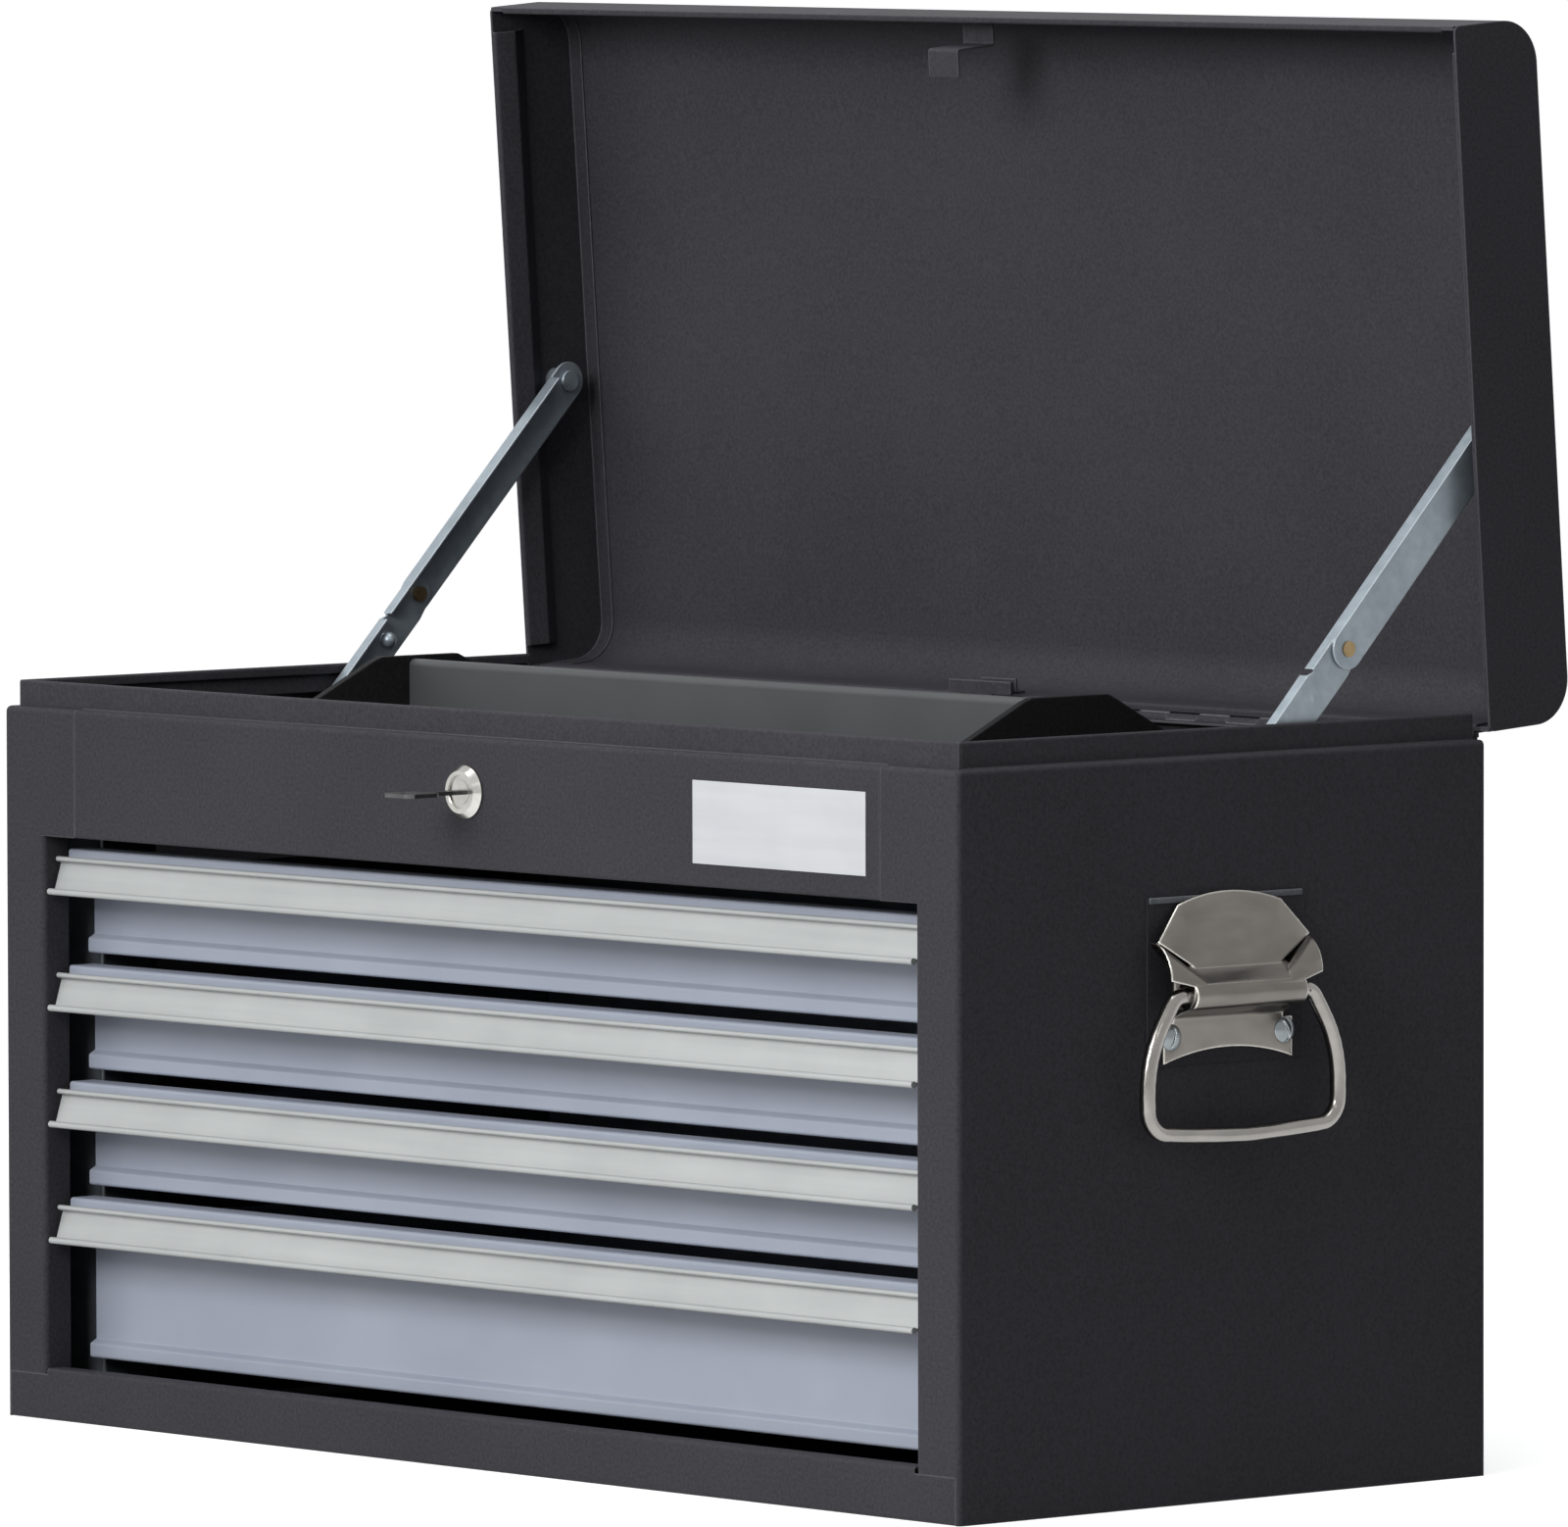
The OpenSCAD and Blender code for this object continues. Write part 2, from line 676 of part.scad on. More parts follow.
module hinge_leaf_case() {
    color(powder_dark) difference() {
        union() {
            block([-hinge_half, back, hinge_z - leaf_w], [hinge_half, back + leaf_t, hinge_z]);
            knuckle_webs(0, hinge_z - slot_r - web_in, hinge_z - pin_r - web_in);
            knuckles(0);
        }
        knuckle_slots(1);
        bore_line();
    }
}

module bore_line() {
    translate([-hinge_half - 1, hinge_y, hinge_z]) rotate([0, 90, 0])
        cylinder(r = pin_r + run_gap, h = 2 * hinge_half + 2, $fn = 24);
}

module hinge_leaf_lid() {
    color(powder_dark) opened() difference() {
        union() {
            block([-hinge_half, back, hinge_z], [hinge_half, back + leaf_t, hinge_z + leaf_w]);
            knuckle_webs(1, hinge_z + pin_r + web_in, hinge_z + slot_r + web_in);
            knuckles(1);
        }
        knuckle_slots(0);
        bore_line();
    }
}

module hinge_pin() {
    color(zinc) translate([-hinge_half + 0.5, hinge_y, hinge_z]) rotate([0, 90, 0])
        cylinder(r = pin_r, h = 2 * hinge_half - 1, $fn = 24);
}

// ---------------------------------------------------------------- stays

// Puts a piece drawn along +X from its pivot on the stay's line, at a distance x from the middle of the chest
module on_stay(start, x) {
    translate([x, start.x, start.y]) rotate([90, 0, 90]) rotate(stay_angle) children();
}

// A flat link with round ends and a pivot hole
module link_plate(l, hole_r, end_r) {
    linear_extrude(link_t) difference() {
        union() {
            circle(link_w / 2);
            translate([0, -link_w / 2]) square([l, link_w]);
            translate([l, 0]) circle(end_r);
        }
        circle(hole_r);
    }
}

module stay_upper(side) {
    color(zinc) sided(side) on_stay(stud_open, link_x) {
        difference() {
            link_plate(upper_l, pivot_r + run_gap, link_w / 2);
            translate([upper_l, 0, -1]) cylinder(r = pivot_r, h = link_t + 2);
        }
        // The flange runs on past the elbow, where the lower link comes to rest on it
        translate([6, -link_w / 2, -flange_in]) cube([upper_l + stop_l - 6, link_t, flange_in]);
    }
}

// The lower link is drawn in where it lies along the upper one's flange
module stay_lower(side) {
    near = link_w / 2 - link_t - slide_gap;
    wide = link_w / 2;
    stud_l = stop_l + 9;
    stud_r = 2.5;
    flange_l = stop_l + 4;
    link_path = [[0, -near], [stop_l + 1, -near], [flange_l, -wide], [lower_l, -wide], [lower_l, wide],
        [8, wide], [0, near]];
    color(zinc) sided(side) on_stay(elbow, link_x - link_t - slide_gap) {
        difference() {
            linear_extrude(link_t) difference() {
                union() {
                    circle(near);
                    polygon(link_path);
                    translate([lower_l, 0]) circle(wide);
                }
                circle(pivot_r + run_gap);
            }
            translate([stud_l, 0, -1]) cylinder(r = stud_r, h = link_t + 2);
        }
        translate([flange_l, -wide, link_t - flange_in])
            cube([lower_l - flange_l - 10, link_t, flange_in - link_t]);
        // Domed stud that the lock tab springs over
        translate([stud_l, 0, -2]) cylinder(r = stud_r, h = link_t + 2);
        translate([stud_l, 0, -2]) sphere(3.7);
    }
}

module stay_elbow(side) {
    head_r = 3.6;
    head_t = 0.6;
    inner_t = 1.8;
    color(brass_tone) sided(side) on_stay(elbow, link_x) {
        translate([0, 0, -2 * link_t - 2 * slide_gap]) cylinder(r = pivot_r, h = 3 * link_t + 2 * slide_gap);
        translate([0, 0, link_t]) cylinder(r = head_r, h = head_t);
        translate([0, 0, -link_t - 2 * slide_gap - inner_t]) cylinder(r = head_r, h = inner_t);
    }
}

module stay_lid_studs() {
    reach = lid_end_x - sheet - link_x;
    shoulder = link_t + slide_gap;
    head_t = 1.5;
    color(zinc) for (side = [-1, 1]) sided(side) on_stay(stud_open, link_x) {
        translate([0, 0, -head_t]) cylinder(r = pivot_r, h = reach + head_t);
        translate([0, 0, shoulder]) cylinder(r = 6, h = reach - shoulder);
        translate([0, 0, -head_t - slide_gap]) cylinder(r = 5, h = head_t);
    }
}

// The lower link hangs on a short stud from the case wall
module stay_case_studs() {
    reach = half_w - sheet - link_x;
    neck = 4;
    color(zinc) for (side = [-1, 1]) sided(side) translate([link_x, foot.x, foot.y]) rotate([0, 90, 0]) {
        cylinder(r = pivot_r, h = reach);
        translate([0, 0, neck]) cylinder(r = 6, h = reach - neck);
    }
}

// ---------------------------------------------------------------- handles

module handle_backing(side) {
    half = 47;
    color(powder_dark) sided(side) along_x(half_w, plate_x) difference() {
        translate([-half, bail_z - 31.5]) square([2 * half, 74.6]);
        for (y = [-screw_y, screw_y]) translate([y, bail_z - screw_drop]) circle(screw_r + 0.1);
    }
}

// The cover: sloping hood, barrel for the bail with flared ends, and a foot plate with two screws
module handle_plate(side) {
    hood_h = hood_up - fold_up;
    rise = fold_out - backing_t;
    hood_l = norm([hood_h, rise]);
    lean = atan2(rise, hood_h);
    foot_low = bail_z - 31;
    foot_mid = plate_x + cover_t / 2;
    strip = [[half_w + fold_out - 0.4, bail_z + fold_up + 0.5],
        [bail_x + tube_r * 0.62, bail_z + tube_r * 0.66]];
    bridge = [[foot_mid, bail_z - 17], [foot_mid, bail_z - 10], [bail_x - 1, bail_z - tube_r + cover_t / 2]];
    color(nickel) sided(side) difference() {
        union() {
            // Hood, leaning out from the wall at its arched top edge
            translate([plate_x, 0, bail_z + hood_up]) rotate([0, 180 - lean, 0]) rotate([0, 0, 180])
                rotate([90, 0, 90]) linear_extrude(cover_t) hood_outline(hood_l + 1);
            // Barrel, the strip from the fold to the barrel, and the bridge to the foot plate
            translate([bail_x, -tube_half, bail_z]) rotate([-90, 0, 0]) cylinder(r = tube_r, h = 2 * tube_half);
            along_y(3 - tube_half, tube_half - 3) bent(strip, 0, cover_t);
            along_y(-tube_half, tube_half) bent(bridge, [0, 3, 0], cover_t);
            // Foot plate with its hollowed lower edge
            along_x(plate_x, plate_x + cover_t) difference() {
                translate([-foot_half, foot_low]) square([2 * foot_half, 18]);
                translate([0, foot_low + foot_rise - foot_r]) circle(foot_r, $fn = 160);
            }
            both_ends() flare();
        }
        translate([bail_x, -2 * flare_to, bail_z]) rotate([-90, 0, 0])
            cylinder(r = wire_r + run_gap, h = 4 * flare_to);
        for (y = [-screw_y, screw_y]) translate([plate_x - 1, y, bail_z - screw_drop]) rotate([0, 90, 0])
            cylinder(r = screw_r + 0.1, h = 4);
    }
}

// Hood seen square on: x along the wall, y down from the middle of the arched edge
module hood_outline(l) {
    arch_r = 95;
    top_half = 29;
    intersection() {
        translate([0, arch_r]) circle(arch_r, $fn = 160);
        polygon([[-flare_to, l - 13], [-top_half, 3], [-top_half, 0], [top_half, 0], [top_half, 3],
            [flare_to, l - 13], [flare_from, l], [-flare_from, l]]);
    }
}

// Wing at one end: a hollow horn that opens from the barrel to a wide mouth standing on the wall
module horn(off, reach) {
    rim_t = 0.4;
    mouth = [13, 16.5];
    hull() {
        translate([bail_x, flare_from - reach, bail_z]) rotate([-90, 0, 0])
            cylinder(r = tube_r - 0.4 - off, h = rim_t, $fn = 32);
        translate([half_w + 2.2, flare_to + reach, bail_z + 7]) rotate([90, 0, 0])
            scale([mouth.x - off, mouth.y - off, 1]) cylinder(r = 1, h = rim_t, $fn = 32);
    }
}
module flare() {
    difference() {
        horn(0, 0);
        horn(cover_t, 0.1);
        translate([0, 0, bail_z - 30]) cube([plate_x, 2 * flare_to, 60]);
        // Open below, where the bail swings
        along_x(plate_x, bail_x + 30) polygon([[tube_half + 0.2, bail_z - 30], [flare_to + 1, bail_z - 30],
            [flare_to + 1, bail_z + 7.4], [tube_half + 0.2, bail_z + wire_r + 0.5]]);
    }
}

module handle_screws() {
    color(chrome_tone) for (side = [-1, 1]) sided(side) for (y = [-screw_y, screw_y])
        translate([plate_x + cover_t, y, bail_z - screw_drop]) rotate([0, 90, 0]) difference() {
            union() {
                intersection() {
                    translate([0, 0, -7.2]) sphere(9.4);
                    cylinder(r = 6, h = 4);
                }
                translate([0, 0, -cover_t - backing_t]) cylinder(r = screw_r, h = cover_t + backing_t + 0.1);
            }
            rotate(y > 0 ? 25 : -15) translate([-8, -0.6, 1]) cube([16, 1.2, 3]);
        }
}

// A ring of points round the wire at p, square to direction d, with the wire in the plane x = 0
function wire_ring(p, d, r, n) = let (s = left_of(unit(d)), step = 360 / n) [
    for (k = [0 : n - 1]) [r * sin(step * k), p.x + r * cos(step * k) * s.x, p.y + r * cos(step * k) * s.y]];

// Middle line of the bail as [y, z] about its axis: out of the barrel, down, round the corner and along the bar
function arc(c, r, a0, a1, n) = [
    for (k = [0 : n]) let (a = a0 + (a1 - a0) * k / n) c + r * [cos(a), sin(a)]];
function bail_half() = let (
    out = bail_w / 2 - wire_r,
    low = wire_r - bail_drop,
    neck_r = 9,
    leg_r = 55,
    corner_r = 12
) concat(
    arc([tube_half + 3, -neck_r], neck_r, 90, 40, 5),
    arc([out - leg_r, low + 22], leg_r, 33, 0, 6),
    arc([out - corner_r, low + 15], corner_r, -8, -82, 8)
);

module swept_wire(path, r, n) {
    m = len(path);
    dirs = [for (i = [0 : m - 1]) path[min(i + 1, m - 1)] - path[max(i - 1, 0)]];
    rings = [for (i = [0 : m - 1]) each wire_ring(path[i], dirs[i], r, n)];
    sides = [for (i = [0 : m - 2]) for (k = [0 : n - 1]) let (a = i * n + k, b = i * n + (k + 1) % n)
        each [[a, b + n, b], [a, a + n, b + n]]];
    first_end = [for (k = [0 : n - 1]) k];
    last_end = [for (k = [n - 1 : -1 : 0]) (m - 1) * n + k];
    polyhedron(rings, concat(sides, [first_end], [last_end]));
}

module bail(side) {
    mirrored = [for (p = bail_half()) [-p.x, p.y]];
    path = concat(mirrored, [[0, wire_r - bail_drop]], reversed(bail_half()));
    color(nickel) sided(side) translate([bail_x, 0, bail_z]) {
        swept_wire(path, wire_r, 14);
        for (end = [-1, 1]) translate([0, end * 27, 0]) rotate([90, 0, 0])
            cylinder(r = wire_r, h = 18, center = true);
    }
}

// ---------------------------------------------------------------- tote

module tote_tray() {
    y = tote_d / 2 - half_t;
    hem_y = y - hem_gap;
    high = tote_low + tray_h;
    half_path = [[y, tote_low + half_t], [y, high], [hem_y, high], [hem_y, high - hem_l]];
    tray_path = concat(reversed([for (p = half_path) [-p.x, p.y]]), half_path);
    color(tote_grey) along_x(end_t - tote_half, tote_half - end_t)
        bent(tray_path, [0, hem_turn, hem_turn, 2, 2, hem_turn, hem_turn, 0]);
}

// Black end plates: as wide as the tray below, drawn in to a flat top that carries the handle
module tote_ends() {
    color(tote_black) for (side = [-1, 1]) sided(side) along_x(tote_half - end_t, tote_half) tote_end_outline();
}

module tote_end_outline() {
    h = tote_top - tote_low;
    half = tote_d / 2;
    step_h = tray_h + 8;
    ease = 1.8;
    translate([0, tote_low]) polygon([[-half, 0], [half, 0], [half, tray_h], [62, step_h], [30, h - ease],
        [26, h], [-20, h], [-25, h - ease], [-60, step_h], [-half, tray_h]]);
}

// Folded sheet handle running the length of the tray
module tote_handle() {
    high = tote_top - 1.5 - half_t;
    low = tote_low + sheet;
    fold = 3;
    color(tote_grey) along_x(end_t - tote_half, tote_half - end_t)
        bent([[-fold, low], [-fold, high], [fold, high], [fold, low]], [0, fold - 0.3, fold - 0.3, 0]);
}

// ---------------------------------------------------------------- drawer lock worked by the lid

// A wide head under the lid, and a hook over the back of each drawer
module drawer_lock_bar() {
    head_h = 6;
    hook_y = box_rear - sheet - 1.5 - bar_t;
    hook_up = 0.8;
    rest_up = bar_drop_h + slide_gap;
    color(zinc) {
        block([-bar_half, bar_y, bar_top - head_h], [bar_half, bar_y + bar_t, bar_top]);
        block([-bar_stem, bar_y, sill_h + 6], [bar_stem, bar_y + bar_t, bar_top - head_h]);
        for (i = [1 : 4]) {
            arm_z = box_top(i) + rest_up;
            block([-hook_half, hook_y, arm_z], [hook_half, bar_y, arm_z + bar_t]);
            block([-hook_half, hook_y, box_top(i) + hook_up], [hook_half, hook_y + bar_t, arm_z]);
        }
    }
}

// An angle on the rear hem of the lid that presses the bar down as the lid closes
module lock_lift_bracket() {
    press_z = bar_top - bar_drop_h + slide_gap + half_t;
    on_hem = back - hem_back - sheet;
    bracket_path = [[on_hem, mouth_z + 9], [on_hem, press_z], [back - 10, press_z]];
    color(zinc) opened() along_x(-12, 12) bent(bracket_path, 0.8);
}

// ---------------------------------------------------------------- pieces

side_panel(-1);  // side_panel_left
side_panel(1);  // side_panel_right
back_panel();
bottom_panel();
front_header();
compartment_floor();
slide_uprights(-1);  // slide_uprights_left
slide_uprights(1);  // slide_uprights_right
rails(1);  // drawer_1_rails
rails(2);  // drawer_2_rails
rails(3);  // drawer_3_rails
rails(4);  // drawer_4_rails
lock_body();
lock_nut();
handle_plate(-1);  // handle_plate_left
handle_plate(1);  // handle_plate_right
handle_backing(-1);  // handle_backing_left
handle_backing(1);  // handle_backing_right
handle_screws();
hinge_leaf_case();
hinge_pin();
stay_case_studs();
drawer_box(1);  // drawer_1_box
drawer_front(1);  // drawer_1_front
drawer_pull(1);  // drawer_1_pull
runners(1);  // drawer_1_runners
drawer_box(2);  // drawer_2_box
drawer_front(2);  // drawer_2_front
drawer_pull(2);  // drawer_2_pull
runners(2);  // drawer_2_runners
drawer_box(3);  // drawer_3_box
drawer_front(3);  // drawer_3_front
drawer_pull(3);  // drawer_3_pull
runners(3);  // drawer_3_runners
drawer_box(4);  // drawer_4_box
drawer_front(4);  // drawer_4_front
drawer_pull(4);  // drawer_4_pull
runners(4);  // drawer_4_runners
lock_plug();
lock_cam();
key();
lid_shell();
lid_end(-1);  // lid_end_left
lid_end(1);  // lid_end_right
lid_catch();
hinge_leaf_lid();
stay_lid_studs();
stay_upper(-1);  // stay_upper_left
stay_upper(1);  // stay_upper_right
stay_lower(-1);  // stay_lower_left
stay_lower(1);  // stay_lower_right
stay_elbow(-1);  // stay_elbow_left
stay_elbow(1);  // stay_elbow_right
bail(-1);  // bail_left
bail(1);  // bail_right
tote_tray();
tote_ends();
tote_handle();
drawer_lock_bar();
lock_lift_bracket();
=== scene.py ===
"""Steel tool chest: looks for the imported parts, one section for each piece or group of like pieces.

Metres, Z up, front towards -Y, origin under the middle of the chest. The lid is drawn open.
"""
import math

import bpy
from mathutils import Matrix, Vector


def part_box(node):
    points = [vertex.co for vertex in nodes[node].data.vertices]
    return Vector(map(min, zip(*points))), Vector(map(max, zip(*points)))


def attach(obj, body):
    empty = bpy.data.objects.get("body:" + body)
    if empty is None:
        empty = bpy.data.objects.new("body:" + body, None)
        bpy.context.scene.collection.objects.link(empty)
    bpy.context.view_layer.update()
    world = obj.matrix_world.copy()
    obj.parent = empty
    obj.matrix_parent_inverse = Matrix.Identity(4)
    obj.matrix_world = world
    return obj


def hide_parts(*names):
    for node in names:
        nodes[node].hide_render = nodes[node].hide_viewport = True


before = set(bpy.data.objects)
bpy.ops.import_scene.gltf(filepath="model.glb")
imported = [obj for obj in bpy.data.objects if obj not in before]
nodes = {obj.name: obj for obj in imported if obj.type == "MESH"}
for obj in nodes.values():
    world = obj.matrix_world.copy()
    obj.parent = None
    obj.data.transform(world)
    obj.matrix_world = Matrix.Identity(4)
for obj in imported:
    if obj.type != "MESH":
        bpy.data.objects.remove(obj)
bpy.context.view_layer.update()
bpy.ops.object.select_all(action="DESELECT")

# ------------------------------------------------------------------ camera and room
# The chest stands on a wide pale floor, seen from the front right and a little above.
# A long lens far away keeps its edges nearly parallel, and the place and turns match the photograph.
view_from = (5.9042, -5.1750, 0.8058)
view_turn = math.radians(48.5887)
view_drop = math.radians(3.605)
view_roll = math.radians(-0.129)
bpy.ops.object.camera_add()
camera = bpy.context.object
camera.name = "view"
camera.data.lens = 397.07
camera.data.sensor_width = 36
camera.data.clip_end = 300
camera.matrix_world = (
    Matrix.Translation(view_from)
    @ Matrix.Rotation(view_turn, 4, "Z")
    @ Matrix.Rotation(math.pi / 2 - view_drop, 4, "X")
    @ Matrix.Rotation(view_roll, 4, "Z")
)
bpy.context.scene.camera = camera
bpy.context.scene.view_settings.view_transform = "Standard"

# The floor looks pale to the eye and in reflections, and throws little light back at the chest.
floor_side = 160
floor_gap = 0.0002
bpy.ops.mesh.primitive_plane_add(size=floor_side, location=(0, 0, -floor_gap))
floor = bpy.context.object
floor.name = "floor"
floor_paint = bpy.data.materials.new("pale_floor")
floor_paint.use_nodes = True
tree = floor_paint.node_tree
tree.nodes.clear()
seen = tree.nodes.new("ShaderNodeBsdfDiffuse")
seen.inputs["Color"].default_value = (0.93, 0.93, 0.93, 1)
felt = tree.nodes.new("ShaderNodeBsdfDiffuse")
felt.inputs["Color"].default_value = (0.36, 0.36, 0.36, 1)
glow = tree.nodes.new("ShaderNodeEmission")
glow.inputs["Color"].default_value = (1, 1, 1, 1)
glow.inputs["Strength"].default_value = 0.63
pale = tree.nodes.new("ShaderNodeAddShader")
tree.links.new(seen.outputs[0], pale.inputs[0])
tree.links.new(glow.outputs[0], pale.inputs[1])
path = tree.nodes.new("ShaderNodeLightPath")
either = tree.nodes.new("ShaderNodeMath")
either.operation = "MAXIMUM"
tree.links.new(path.outputs["Is Camera Ray"], either.inputs[0])
tree.links.new(path.outputs["Is Glossy Ray"], either.inputs[1])
mix = tree.nodes.new("ShaderNodeMixShader")
tree.links.new(either.outputs[0], mix.inputs[0])
tree.links.new(felt.outputs[0], mix.inputs[1])
tree.links.new(pale.outputs[0], mix.inputs[2])
out = tree.nodes.new("ShaderNodeOutputMaterial")
tree.links.new(mix.outputs[0], out.inputs["Surface"])
floor.data.materials.append(floor_paint)

# The room is white where it is seen, mirrored or seen through, and a soft fill for the rest.
world = bpy.data.worlds.new("room")
bpy.context.scene.world = world
world.use_nodes = True
tree = world.node_tree
tree.nodes.clear()
white = tree.nodes.new("ShaderNodeBackground")
white.inputs["Color"].default_value = (1, 1, 1, 1)
soft = tree.nodes.new("ShaderNodeBackground")
soft.inputs["Color"].default_value = (0.95, 0.97, 1, 1)
soft.inputs["Strength"].default_value = 0.26
path = tree.nodes.new("ShaderNodeLightPath")
shown = tree.nodes.new("ShaderNodeMath")
shown.operation = "MAXIMUM"
tree.links.new(path.outputs["Is Camera Ray"], shown.inputs[0])
tree.links.new(path.outputs["Is Glossy Ray"], shown.inputs[1])
clear = tree.nodes.new("ShaderNodeMath")
clear.operation = "MAXIMUM"
tree.links.new(shown.outputs[0], clear.inputs[0])
tree.links.new(path.outputs["Is Transmission Ray"], clear.inputs[1])
mix = tree.nodes.new("ShaderNodeMixShader")
tree.links.new(clear.outputs[0], mix.inputs[0])
tree.links.new(soft.outputs[0], mix.inputs[1])
tree.links.new(white.outputs[0], mix.inputs[2])
out = tree.nodes.new("ShaderNodeOutputWorld")
tree.links.new(mix.outputs[0], out.inputs["Surface"])

# One broad sun from the front left gives the shape, and three soft panels fill the rest.
bpy.ops.object.light_add(type="SUN", rotation=(math.radians(67), 0, math.radians(-20)))
key_light = bpy.context.object
key_light.name = "key_light"
key_light.data.energy = 1.35
key_light.data.angle = math.radians(62)


def soft_panel(name, place, tilt, turn, side, power):
    """A square lamp that hangs at a place, tilted up from straight down and turned about Z."""
    bpy.ops.object.light_add(
        type="AREA",
        location=place,
        rotation=(math.radians(tilt), 0, math.radians(turn)),
    )
    lamp = bpy.context.object
    lamp.name = name
    lamp.data.size = side
    lamp.data.energy = power


soft_panel("side_light", (3.2, -2.3, 2.7), 58, 53, 0.5, 4)
soft_panel("front_light", (0.6, -2.7, 1.5), 66, 13, 1.2, 58)
soft_panel("top_light", (0.2, -0.2, 2.7), 0, 0, 1.8, 34)

# ------------------------------------------------------------------ coated steel
# Case and lid are folded mild steel sheet under a matt black powder coat.
# The coat has a fine orange peel and looks a little uneven from place to place; its folds carry a painted
# highlight, a lighter tint near the edges.
def new_finish(name):
    """An empty finish: the material, its nodes, its shader and the object's own coordinates."""
    material = bpy.data.materials.new(name)
    material.use_nodes = True
    nt = material.node_tree
    place = nt.nodes.new("ShaderNodeTexCoord")
    return material, nt, nt.nodes["Principled BSDF"], place.outputs["Object"]


def noise(nt, place, scale, detail):
    """Random cloud or grain, from 0 to 1."""
    texture = nt.nodes.new("ShaderNodeTexNoise")
    texture.inputs["Scale"].default_value = scale
    texture.inputs["Detail"].default_value = detail
    nt.links.new(place, texture.inputs["Vector"])
    return texture.outputs["Fac"]


def blend_noise(nt, first, second, share):
    """Two noises as one, with the second's share of it. Inputs 2 and 3 are the node's plain values."""
    both = nt.nodes.new("ShaderNodeMix")
    both.inputs["Factor"].default_value = share
    nt.links.new(first, both.inputs[2])
    nt.links.new(second, both.inputs[3])
    return both.outputs[0]


def two_tone(nt, factor, low, high, start):
    """A colour from low to high, which changes between start and 1 - start of the factor."""
    tone = nt.nodes.new("ShaderNodeValToRGB")
    tone.color_ramp.elements[0].position = start
    tone.color_ramp.elements[0].color = (*low, 1)
    tone.color_ramp.elements[1].position = 1 - start
    tone.color_ramp.elements[1].color = (*high, 1)
    nt.links.new(factor, tone.inputs["Fac"])
    return tone.outputs["Color"]


def uneven_roughness(nt, shader, factor, smooth, rough):
    """Roughness that wanders between two values."""
    spread = nt.nodes.new("ShaderNodeMapRange")
    spread.inputs["To Min"].default_value = smooth
    spread.inputs["To Max"].default_value = rough
    nt.links.new(factor, spread.inputs["Value"])
    nt.links.new(spread.outputs[0], shader.inputs["Roughness"])


def relief(nt, shader, height, strength, depth, normal=None):
    """Shallow relief on the surface, over softened edges where their normal is given."""
    bump = nt.nodes.new("ShaderNodeBump")
    bump.inputs["Strength"].default_value = strength
    bump.inputs["Distance"].default_value = depth
    if normal:
        nt.links.new(normal, bump.inputs["Normal"])
    nt.links.new(height, bump.inputs["Height"])
    nt.links.new(bump.outputs[0], shader.inputs["Normal"])


def folded_edges(nt, radius, samples=4):
    """The softened normal of sharp edges, and how near to such an edge a point lies.

    On a flat face the softened normal is the true one, and its dot product with that is 1.
    """
    edge = nt.nodes.new("ShaderNodeBevel")
    edge.samples = samples
    edge.inputs["Radius"].default_value = radius
    flat = nt.nodes.new("ShaderNodeNewGeometry")
    turn = nt.nodes.new("ShaderNodeVectorMath")
    turn.operation = "DOT_PRODUCT"
    nt.links.new(edge.outputs[0], turn.inputs[0])
    nt.links.new(flat.outputs["True Normal"], turn.inputs[1])
    near = nt.nodes.new("ShaderNodeMapRange")
    near.inputs["From Min"].default_value = 0.985
    near.inputs["From Max"].default_value = 0.80
    nt.links.new(turn.outputs["Value"], near.inputs["Value"])
    return edge.outputs[0], near.outputs[0]


def edge_highlight(nt, near, colour, highlight_colour):
    """Mixes a painted highlight, a lighter colour, into a colour near the edges. Inputs 6 and 7 are the
    node's two colours.
    """
    blend = nt.nodes.new("ShaderNodeMix")
    blend.data_type = "RGBA"
    blend.inputs[7].default_value = (*highlight_colour, 1)
    nt.links.new(near, blend.inputs[0])
    nt.links.new(colour, blend.inputs[6])
    return blend.outputs[2]


def powder_coat(name, low, high, fold_highlight=(0.13, 0.13, 0.14)):
    """Matt powder coat with a fine orange peel, and a painted highlight that tints its folds lighter."""
    material, nt, shader, place = new_finish(name)
    grain = noise(nt, place, 620, 4)
    cloud = noise(nt, place, 9, 3)
    colour = two_tone(nt, blend_noise(nt, grain, cloud, 0.3), low, high, 0.36)
    soft_normal, near = folded_edges(nt, 0.0012)
    nt.links.new(edge_highlight(nt, near, colour, fold_highlight), shader.inputs["Base Color"])
    uneven_roughness(nt, shader, cloud, 0.46, 0.62)
    shader.inputs["Specular IOR Level"].default_value = 0.04
    relief(nt, shader, grain, 0.4, 0.0004, soft_normal)
    return material


def dress(node, material):
    """Gives a whole CAD node one material."""
    mesh = nodes[node].data
    mesh.materials.clear()
    mesh.materials.append(material)


black_coat = powder_coat("black_powder_coat", (0.031, 0.030, 0.0345), (0.047, 0.0455, 0.0525))
coated = ["side_panel_left", "side_panel_right", "back_panel", "bottom_panel", "front_header",
          "compartment_floor", "lid_shell", "lid_end_left", "lid_end_right",
          "hinge_leaf_case", "hinge_leaf_lid"]
for name in coated:
    dress(name, black_coat)

# ------------------------------------------------------------------ drawers
# Boxes and faces are folded steel in a smooth blue-grey enamel, satin where the light slides over it.
# A face is one sheet with a foot under its box, a bead along its bottom edge and a shelf at the top.
drawer_count = 4


